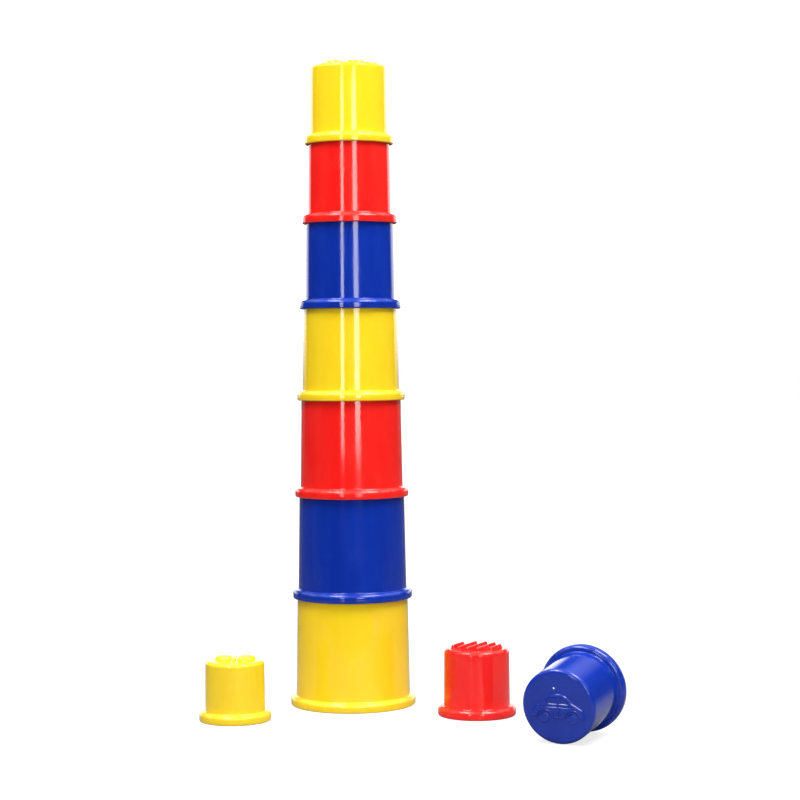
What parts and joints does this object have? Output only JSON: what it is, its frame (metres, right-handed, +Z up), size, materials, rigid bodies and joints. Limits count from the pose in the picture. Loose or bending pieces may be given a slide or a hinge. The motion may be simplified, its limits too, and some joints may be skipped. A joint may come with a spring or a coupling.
{
  "type": "stacking cup tower",
  "caption": "Nesting toy cups used upside down: a tower of round tapered cups, each standing on the next larger one by its stepped rim, with spare smaller cups beside it.",
  "frame": {"origin": "middle of the whole set's footprint, on the surface that the cups stand on", "axes": "+Z up along the tower; +Y from the viewer's side to the back; +X to the viewer's right, towards the lying cup"},
  "size_m": [0.308, 0.2304, 0.4927],
  "materials": {
    "yellow_plastic": "glossy injection-moulded polypropylene",
    "blue_plastic": "glossy injection-moulded polypropylene",
    "red_plastic": "glossy injection-moulded polypropylene"
  },
  "bodies": {
    "base_cup": {"cup_1": "yellow_plastic"},
    "tower_cup_2": {"cup_2": "blue_plastic"},
    "tower_cup_3": {"cup_3": "red_plastic"},
    "tower_cup_4": {"cup_4": "yellow_plastic"},
    "tower_cup_5": {"cup_5": "blue_plastic"},
    "tower_cup_6": {"cup_6": "red_plastic"},
    "tower_cup_7": {"cup_7": "yellow_plastic"},
    "lying_cup_8": {"cup_8": "blue_plastic"},
    "loose_cup_9": {"cup_9": "red_plastic"},
    "loose_cup_10": {"cup_10": "yellow_plastic"}
  },
  "joints": [
    {"name": "lift_cup_2", "type": "slide", "parent": "base_cup", "child": "tower_cup_2", "axis": [0, 0, 1], "range_m": [0, 0.03]},
    {"name": "lift_cup_3", "type": "slide", "parent": "tower_cup_2", "child": "tower_cup_3", "axis": [0, 0, 1], "range_m": [0, 0.03]},
    {"name": "lift_cup_4", "type": "slide", "parent": "tower_cup_3", "child": "tower_cup_4", "axis": [0, 0, 1], "range_m": [0, 0.03]},
    {"name": "lift_cup_5", "type": "slide", "parent": "tower_cup_4", "child": "tower_cup_5", "axis": [0, 0, 1], "range_m": [0, 0.03]},
    {"name": "lift_cup_6", "type": "slide", "parent": "tower_cup_5", "child": "tower_cup_6", "axis": [0, 0, 1], "range_m": [0, 0.03]},
    {"name": "lift_cup_7", "type": "slide", "parent": "tower_cup_6", "child": "tower_cup_7", "axis": [0, 0, 1], "range_m": [0, 0.03]},
    {"name": "lift_cup_8", "type": "slide", "parent": "base_cup", "child": "lying_cup_8", "axis": [0, 0, 1], "range_m": [0, 0.03]},
    {"name": "lift_cup_9", "type": "slide", "parent": "base_cup", "child": "loose_cup_9", "axis": [0, 0, 1], "range_m": [0, 0.03]},
    {"name": "lift_cup_10", "type": "slide", "parent": "base_cup", "child": "loose_cup_10", "axis": [0, 0, 1], "range_m": [0, 0.03]}
  ]
}
